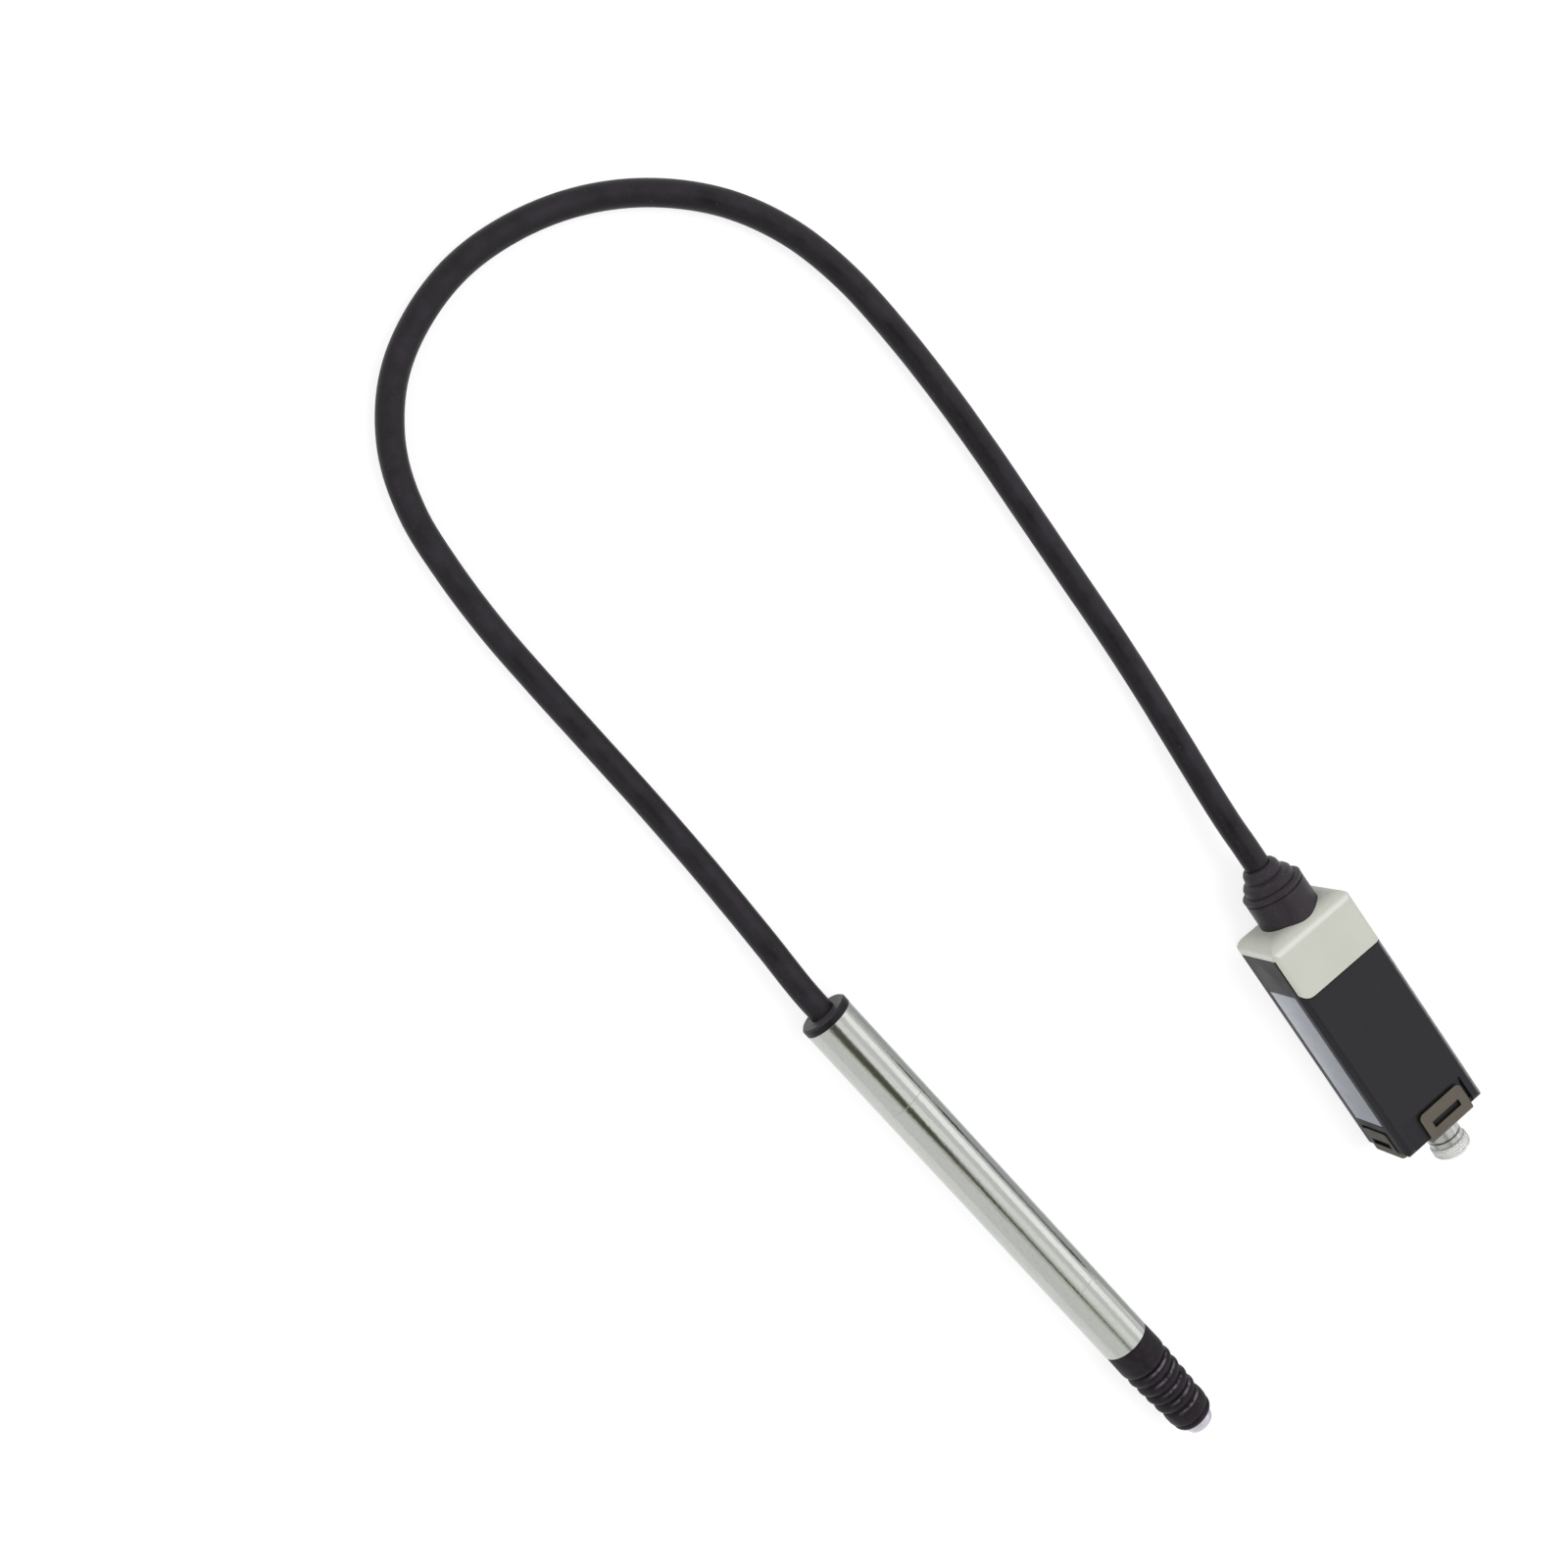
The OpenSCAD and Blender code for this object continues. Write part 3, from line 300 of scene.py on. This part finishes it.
def plain_plastic(name, color, roughness):
    """A small moulded or dipped piece, with a faint cloudiness."""
    plastic = Finish(name, color, roughness)
    cloud = plastic.noise(0.0008, detail=3)
    plastic.rough(cloud, roughness - 0.06, roughness + 0.06)
    return plastic.paint(plastic.remap(cloud, 0.4, 0.8, 0, 0.5), [c * 0.8 for c in color])


def finish_metals():
    """The turned, drawn and folded metal pieces, and the foil label."""
    ground_steel().on("rear_sleeve", "main_tube", "nose_sleeve")
    bright_steel().on("spindle", "guide_bush", "cage_balls", "guide_pin", "core_rod")
    dull_metal("tip_metal", (0.6, 0.57, 0.63), 0.35).on("contact_tip")
    dull_metal("brass", (0.72, 0.53, 0.25), 0.3).on("spring_seat", "stop_collar", "ball_cage")
    dull_metal("soft_iron", (0.42, 0.42, 0.42), 0.45).on("shield_tube", "stop_washer")
    dull_metal("core_metal", (0.14, 0.14, 0.15), 0.5).on("core")
    dull_metal("clip_steel", (0.135, 0.12, 0.1), 0.42).on("fixing_clip")
    dull_metal("port_metal", (0.45, 0.45, 0.44), 0.28).on("port_body", "port_nut")
    dull_metal("contact_gold", (0.83, 0.62, 0.28), 0.25).on("port_contacts")
    dull_metal("label_foil", (0.5, 0.52, 0.56), 0.45).on("side_label")


def finish_rubber():
    """The bush and the port's seal, with a painted highlight where they face rearwards, and the gland.
    """
    bush = black_rubber("bush_rubber", (0.006, 0.005, 0.007), 0.4, 0.15)
    # Painted highlight: paler where the surface faces the stem's rear
    bush.paint(bush.facing(STEM_REAR, 0.6, 0.9), (0.06, 0.058, 0.062)).on("cable_bush", "port_seal")
    black_rubber("gland_rubber", (0.026, 0.021, 0.027), 0.45, 0.45).on("gland")


def finish_cap():
    """The pale cap, with a painted highlight along its rounded edge and painted shade on its end."""
    cap = moulded_plastic("cap_plastic", (0.58, 0.59, 0.52), 0.5, 0.0003, 0.18)
    # Painted highlight on the rounding between the wide faces and the end
    painted_highlight = cap.math("MINIMUM", cap.facing(TOWARD_CABLE, 0.02, 0.18),
                        cap.facing(TOWARD_CABLE, 0.5, 0.3))
    cap.paint(cap.math("MULTIPLY", painted_highlight, 0.8), (0.76, 0.77, 0.73))
    # Painted shade on the end face, which faces the cable
    painted_end_shade = cap.math("MULTIPLY", cap.facing(TOWARD_CABLE, 0.6, 0.9), 0.35)
    cap.paint(painted_end_shade, (0.47, 0.47, 0.44)).on("end_cap")


def finish_housing():
    """The dark housing, with a patchy painted highlight along the upper edge of its far side."""
    housing = moulded_plastic("housing_plastic", (0.0135, 0.012, 0.0155), 0.4, 0.00025, 0.6)
    # Painted highlight on the rounded upper edge of the far side, broken up by noise
    edge = housing.math("MINIMUM", housing.facing(FAR_SIDE, 0.2, 0.85),
                        housing.facing(FAR_SIDE, 0.99, 0.93))
    edge = housing.math("MINIMUM", edge, housing.facing(UP, 0.1, 0.4))
    highlight_breakup = housing.remap(housing.noise(0.0012), 0.25, 0.6, 0.5, 1)
    housing.paint(housing.math("MULTIPLY", edge, highlight_breakup), (0.42, 0.41, 0.43)).on("housing")


def finish_small_pieces():
    """The wires, windings and small mouldings."""
    plain_plastic("board_lacquer", (0.02, 0.13, 0.05), 0.3).on("amplifier_board", "terminal_disc")
    plain_plastic("wire_white", (0.8, 0.8, 0.77), 0.45).on("lead_wires", "board_wires", "port_wires")
    plain_plastic("enamel", (0.55, 0.2, 0.06), 0.3).on("primary_winding", "coil_leads")
    plain_plastic("dark_enamel", (0.4, 0.13, 0.04), 0.3).on("secondary_windings")
    plain_plastic("former_plastic", (0.72, 0.68, 0.58), 0.5).on("coil_bobbin", "guide_sleeve")
    plain_plastic("header_plastic", (0.8, 0.78, 0.7), 0.5).on("cable_header", "port_header")
    plain_plastic("black_package", (0.03, 0.03, 0.03), 0.5).on("signal_chip", "port_insert")
    plain_plastic("tantalum", (0.7, 0.4, 0.08), 0.3).on("capacitors")
    plain_plastic("pot_blue", (0.05, 0.12, 0.45), 0.4).on("trim_pot")


def finish_port_cap():
    """The clear plug in the port."""
    clear = Finish("clear_cap", (0.9, 0.905, 0.88), 0.4)
    clear.set(IOR=1.3, Transmission_Weight=0.35)
    clear.rough(clear.noise(0.001, detail=3), 0.35, 0.6)
    clear.on("port_cap")


def finish_cable():
    """The cable's jacket, with a painted sheen on its upper side."""
    jacket = black_rubber("cable_jacket", (0.006, 0.004, 0.007), 0.45, 0.25)
    clouds = jacket.remap(jacket.noise(0.004, detail=4), 0.3, 0.65, 0.1, 0.9)
    # Painted sheen: lighter where the jacket faces up
    sheen = jacket.math("MULTIPLY", jacket.facing(UP, 0.65, 1), clouds)
    jacket.paint(sheen, (0.024, 0.019, 0.026)).on(cable)


def make_mesh(name, points, faces):
    mesh = bpy.data.meshes.new(name)
    mesh.from_pydata([tuple(p) for p in points], [], faces)
    mesh.shade_smooth()
    piece = bpy.data.objects.new(name, mesh)
    bpy.context.scene.collection.objects.link(piece)
    return piece


def grid_faces(rings, sides, closed=False):
    """Faces of a tube made of rings of points; closed joins the last ring to the first."""
    faces = []
    for i in range(rings if closed else rings - 1):
        a, b = i * sides, (i + 1) % rings * sides
        for j in range(sides):
            k = (j + 1) % sides
            faces.append((a + j, b + j, b + k, a + k))
    return faces


# The boot's main sizes, which follow the solid
BOOT_R = 3.98 * MM
BOOT_WALL = 0.5 * MM
FOLD_DEPTH = 0.75 * MM
FOLDS = 4
FOLDS_START = NOSE_FACE + 5.2 * MM
FOLDS_END = BOOT_END - 4 * MM
BOOT_TAPER = 0.4 * MM
CUFF_R = BOOT_R - BOOT_TAPER - 0.05 * MM
FOLD_PITCH = (FOLDS_END - FOLDS_START) / FOLDS
FOLD_STEPS = 24
BOOT_SIDES = 96
SPINDLE_R = 1.52 * MM
SPIGOT_R = 3.3 * MM

# How round the folds are, and how far they lean; the lean turns by some radians a metre
FOLD_ROUNDNESS = 0.6
FOLD_LEAN = 0.05 * MM
LEAN_TWIST = 900

# Painted highlight lines on the boot: their place in each fold and where the folds begin and end, in
# folds
HIGHLIGHT_PLACE = 0.17
HIGHLIGHT_FROM, HIGHLIGHT_TO = -0.05, FOLDS + 0.4
HIGHLIGHT_SIDE = (0, 0.5, 0.866)


def boot_profile():
    """Pairs of station and radius, out along the outside and back along the inside."""
    stations = [FOLDS_START + FOLD_PITCH * i / FOLD_STEPS for i in range(FOLDS * FOLD_STEPS + 1)]
    waves = [BOOT_R - FOLD_DEPTH + FOLD_DEPTH * abs(math.sin(math.pi * i / FOLD_STEPS)) ** FOLD_ROUNDNESS
             - BOOT_TAPER * i / (FOLDS * FOLD_STEPS) for i in range(FOLDS * FOLD_STEPS + 1)]
    outer = [
        (NOSE_FACE + 0.02 * MM, BOOT_R - 0.2 * MM), (NOSE_FACE + 0.12 * MM, BOOT_R - 0.1 * MM),
        (NOSE_FACE + 0.3 * MM, BOOT_R - 0.06 * MM), (NOSE_FACE + 2.5 * MM, BOOT_R - 0.03 * MM),
        (FOLDS_START - 1.2 * MM, BOOT_R), (FOLDS_START - 0.7 * MM, BOOT_R - 0.06 * MM),
        (FOLDS_START - 0.4 * MM, BOOT_R - 0.2 * MM), (FOLDS_START - 0.15 * MM, BOOT_R - 0.45 * MM),
    ]
    outer += list(zip(stations, waves))
    outer += [
        (FOLDS_END + 0.15 * MM, CUFF_R - 0.35 * MM), (FOLDS_END + 0.3 * MM, CUFF_R - 0.2 * MM),
        (FOLDS_END + 0.5 * MM, CUFF_R - 0.12 * MM), (FOLDS_END + 0.8 * MM, CUFF_R - 0.04 * MM),
        (FOLDS_END + 1.2 * MM, CUFF_R), (BOOT_END - 1.9 * MM, CUFF_R - 0.02 * MM),
        (BOOT_END - 1.5 * MM, CUFF_R - 0.1 * MM), (BOOT_END - 1.32 * MM, CUFF_R - 0.22 * MM),
        (BOOT_END - 1.2 * MM, CUFF_R - 0.35 * MM), (BOOT_END - 1.1 * MM, CUFF_R - 0.3 * MM),
        (BOOT_END - 1 * MM, CUFF_R - 0.2 * MM), (BOOT_END - 0.7 * MM, CUFF_R - 0.2 * MM),
        (BOOT_END - 0.4 * MM, CUFF_R - 0.3 * MM), (BOOT_END - 0.2 * MM, CUFF_R - 0.44 * MM),
        (BOOT_END - 0.1 * MM, CUFF_R - 0.6 * MM), (BOOT_END, CUFF_R - 0.9 * MM),
    ]
    inner = [(BOOT_END, SPINDLE_R), (FOLDS_END + 1 * MM, SPINDLE_R),
             (FOLDS_END + 0.6 * MM, BOOT_R - BOOT_WALL - FOLD_DEPTH - BOOT_TAPER)]
    inner += [(x, r - BOOT_WALL) for x, r in zip(reversed(stations), reversed(waves))]
    inner += [(FOLDS_START - 0.8 * MM, SPIGOT_R), (NOSE_FACE + 0.02 * MM, SPIGOT_R)]
    return outer + inner


def boot_rubber():
    """Black rubber with purple clouds, and a painted highlight line just past each notch."""
    rubber = black_rubber("boot_rubber", (0.007, 0.006, 0.007), 0.5, 0.4)
    rubber.set(Specular_IOR_Level=0.18)
    purple = rubber.noise(0.0012, detail=3)
    rubber.paint(rubber.remap(purple, 0.42, 0.68, 0, 0.8), (0.02, 0.01, 0.02))
    station = rubber.add("ShaderNodeAttribute", attribute_name="rest_station").outputs["Fac"]
    fold = rubber.math("DIVIDE", rubber.math("SUBTRACT", station, FOLDS_START), FOLD_PITCH)
    line = rubber.math("ABSOLUTE", rubber.math("SUBTRACT", rubber.math("FRACT", fold), HIGHLIGHT_PLACE))
    line = rubber.remap(line, 0.03, 0.11, 1, 0)
    folded = rubber.math("MULTIPLY", rubber.math("GREATER_THAN", fold, HIGHLIGHT_FROM),
                         rubber.math("LESS_THAN", fold, HIGHLIGHT_TO))
    breaks = rubber.remap(rubber.noise(0.0009, detail=2), 0.35, 0.65, 0, 0.9)
    # Painted highlight: a light line on each fold's rear flank, only where it faces the lit side
    fold_highlight = rubber.math("MULTIPLY", rubber.math("MULTIPLY", line, breaks), folded)
    fold_highlight = rubber.math("MULTIPLY", fold_highlight, rubber.facing(HIGHLIGHT_SIDE, 0.3, 0.85))
    return rubber.paint(fold_highlight, (0.24, 0.19, 0.245))


def make_boot():
    """The rubber boot, a turned shape with slightly uneven folds."""
    points = []
    profile = boot_profile()
    for x, r in profile:
        for j in range(BOOT_SIDES):
            angle = 2 * math.pi * j / BOOT_SIDES
            folded = FOLDS_START < x < FOLDS_END
            lean = FOLD_LEAN * math.sin(angle + x * LEAN_TWIST) if folded else 0
            points.append((x + lean, r * math.cos(angle), r * math.sin(angle)))
    faces = grid_faces(len(profile), BOOT_SIDES, closed=True)
    boot = make_mesh("boot_piece", points, faces)
    # Each point keeps its station at rest, so that the painted highlight lines move with the folds
    stations = boot.data.attributes.new("rest_station", "FLOAT", "POINT")
    stations.data.foreach_set("value", [point[0] for point in points])
    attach(boot, "case")
    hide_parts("boot")
    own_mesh(boot)
    boot_rubber().on(boot)


# The return spring, between its seat and the stop collar
SPRING_START = 3.6 * MM
SPRING_END = 14 * MM
SPRING_R = 1.7 * MM
SPRING_WIRE_R = 0.18 * MM
SPRING_TURNS = 7
SPRING_TURN_STEPS = 32
SPRING_SIDES = 10


def make_spring():
    """The return spring, a coil of round wire."""
    rings = SPRING_TURNS * SPRING_TURN_STEPS + 1
    run = SPRING_END - SPRING_START - 2 * SPRING_WIRE_R
    points = []
    for i in range(rings):
        angle = 2 * math.pi * i / SPRING_TURN_STEPS
        x = SPRING_START + SPRING_WIRE_R + run * i / (rings - 1)
        for j in range(SPRING_SIDES):
            side = 2 * math.pi * j / SPRING_SIDES
            r = SPRING_R + SPRING_WIRE_R * math.cos(side)
            points.append((x + SPRING_WIRE_R * math.sin(side), r * math.cos(angle), r * math.sin(angle)))
    faces = grid_faces(rings, SPRING_SIDES)
    faces.append(tuple(reversed(range(SPRING_SIDES))))
    faces.append(tuple(range((rings - 1) * SPRING_SIDES, rings * SPRING_SIDES)))
    spring = make_mesh("spring_piece", points, faces)
    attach(spring, "case")
    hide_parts("return_spring")
    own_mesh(spring)
    dull_metal("spring_wire", (0.5, 0.5, 0.52), 0.25).on(spring)


SHARP_ANGLE = math.radians(32)


def smooth_nodes():
    """Shades the CAD nodes smoothly, apart from their sharp edges."""
    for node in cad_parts.values():
        node.data.shade_smooth()
        node.data.set_sharp_from_angle(angle=SHARP_ANGLE)


make_boot()
make_spring()
finish_metals()
finish_rubber()
finish_cap()
finish_housing()
finish_small_pieces()
finish_port_cap()
finish_cable()
smooth_nodes()

# The studio: a white table, soft lamps, and cards that only reflections show
TABLE_REACH = 12
TABLE_GLOW = 1.27
TABLE_GLOW_SHARE = 0.6
WORLD_LIGHT = 0.6
CARD_HEIGHT = 0.4
SHADE_HEIGHT = 0.41
SHADOW_CARD_Z = -0.0037
SIDE_CARD_DISTANCE = 0.6
SIDE_CARD_ENDS = (-0.6, 1.2)

# Name, angles from overhead and strength of each card beside the stem
SIDE_CARDS = [
    ("left_card", (-95, -34), 0.93),
    ("top_card", (2, 24), 1.18),
    ("middle_card", (24, 46), 0.92),
    ("right_card", (46, 72), 1.5),
    ("far_card", (72, 84), 0.9),
]


def make_plane(name, corners):
    mesh = bpy.data.meshes.new(name)
    mesh.from_pydata(corners, [], [tuple(range(len(corners)))])
    plane = bpy.data.objects.new(name, mesh)
    bpy.context.scene.collection.objects.link(plane)
    return plane


def make_table():
    """A white table that keeps a soft shadow."""
    far = TABLE_REACH
    table = make_plane("table", [
        (-far, -far, FLOOR_Z), (far, -far, FLOOR_Z), (far, far, FLOOR_Z), (-far, far, FLOOR_Z)])
    finish = Finish("table", (0.85, 0.85, 0.85), 0.9)
    glow = finish.add("ShaderNodeEmission", {"Color": (1, 1, 1, 1), "Strength": TABLE_GLOW})
    amount = finish.math("MULTIPLY", finish.backdrop_ray(), TABLE_GLOW_SHARE)
    mix = finish.add("ShaderNodeMixShader", {0: amount, 1: finish.shader.outputs[0], 2: glow.outputs[0]})
    output = finish.tree.nodes["Material Output"]
    finish.tree.links.new(mix.outputs[0], output.inputs["Surface"])
    finish.on(table)


def make_world(light):
    """Even light from all sides, and a white backdrop."""
    world = bpy.data.worlds.new("studio")
    bpy.context.scene.world = world
    world.use_nodes = True
    tree = world.node_tree
    background = tree.nodes["Background"]
    background.inputs["Color"].default_value = (1, 1, 1, 1)
    path = tree.nodes.new("ShaderNodeLightPath")
    strength = tree.nodes.new("ShaderNodeMapRange")
    strength.inputs["To Min"].default_value = 1
    strength.inputs["To Max"].default_value = light
    tree.links.new(path.outputs["Is Diffuse Ray"], strength.inputs["Value"])
    tree.links.new(strength.outputs["Result"], background.inputs["Strength"])


def make_lamp(name, place, target, size, power):
    """A soft lamp. The cards take its place in the reflections."""
    data = bpy.data.lights.new(name, "AREA")
    data.shape = "RECTANGLE"
    data.size, data.size_y = size
    data.energy = power
    lamp = bpy.data.objects.new(name, data)
    lamp.location = place
    lamp.rotation_euler = (Vector(target) - Vector(place)).to_track_quat("-Z", "Y").to_euler()
    lamp.visible_glossy = False
    bpy.context.scene.collection.objects.link(lamp)


def make_card(name, corners, color, strength):
    """A card that is seen only in reflections."""
    card = make_plane(name, corners)
    card.visible_camera = False
    card.visible_diffuse = False
    card.visible_shadow = False
    card.visible_transmission = False
    finish = Finish(name, (0, 0, 0), 1)
    finish.set(Emission_Color=(*color, 1), Emission_Strength=strength, Specular_IOR_Level=0)
    finish.on(card)


def side_card(name, angles, strength):
    """A white card beside the stem that spans two angles from overhead, positive towards +Y."""
    turns = [math.radians(angle) for angle in angles]
    low, high = [(SIDE_CARD_DISTANCE * math.sin(a), SIDE_CARD_DISTANCE * math.cos(a)) for a in turns]
    rear, front = SIDE_CARD_ENDS
    corners = [(rear, *low), (front, *low), (front, *high), (rear, *high)]
    make_card(name, corners, (1, 1, 1), strength)


def flat_card(name, outline, height, color):
    """A level card with the given outline."""
    make_card(name, [(x, y, height) for x, y in outline], color, 1.0)


make_table()
make_world(WORLD_LIGHT)
make_lamp("key_lamp", (0.15, 0.35, 0.75), (-0.05, 0.03, 0), (0.5, 0.5), 2.4)
make_lamp("side_lamp", (-0.35, -0.5, 0.45), (-0.05, 0.03, 0), (0.5, 0.3), 1.3)
flat_card("olive_card", [
    (-0.1, -0.4), (0.11, -0.265), (0.15, -0.215), (0.19, -0.155), (0.3, -0.135), (0.45, -0.13),
    (0.45, -0.115), (0.3, -0.108), (0.19, -0.08), (0.15, -0.035), (0.11, 0), (-0.1, 0.05),
], CARD_HEIGHT, (0.1, 0.097, 0.07))
flat_card("shade_card", [
    (-0.1, -0.42), (0.11, -0.34), (0.25, -0.25), (0.45, -0.2), (0.45, -0.1), (0.11, 0), (-0.1, 0.02),
], SHADE_HEIGHT, (0.72, 0.72, 0.66))
for card_name, card_angles, card_strength in SIDE_CARDS:
    side_card(card_name, card_angles, card_strength)
# A grey card on the table beside the stem, seen only in reflections: a painted shadow of the table there
flat_card("table_shadow_card", [(-0.1, 0.008), (0.1, 0.008), (0.1, 0.05), (-0.1, 0.05)], SHADOW_CARD_Z,
          (0.55, 0.565, 0.575))

bpy.context.scene.view_settings.view_transform = "Standard"
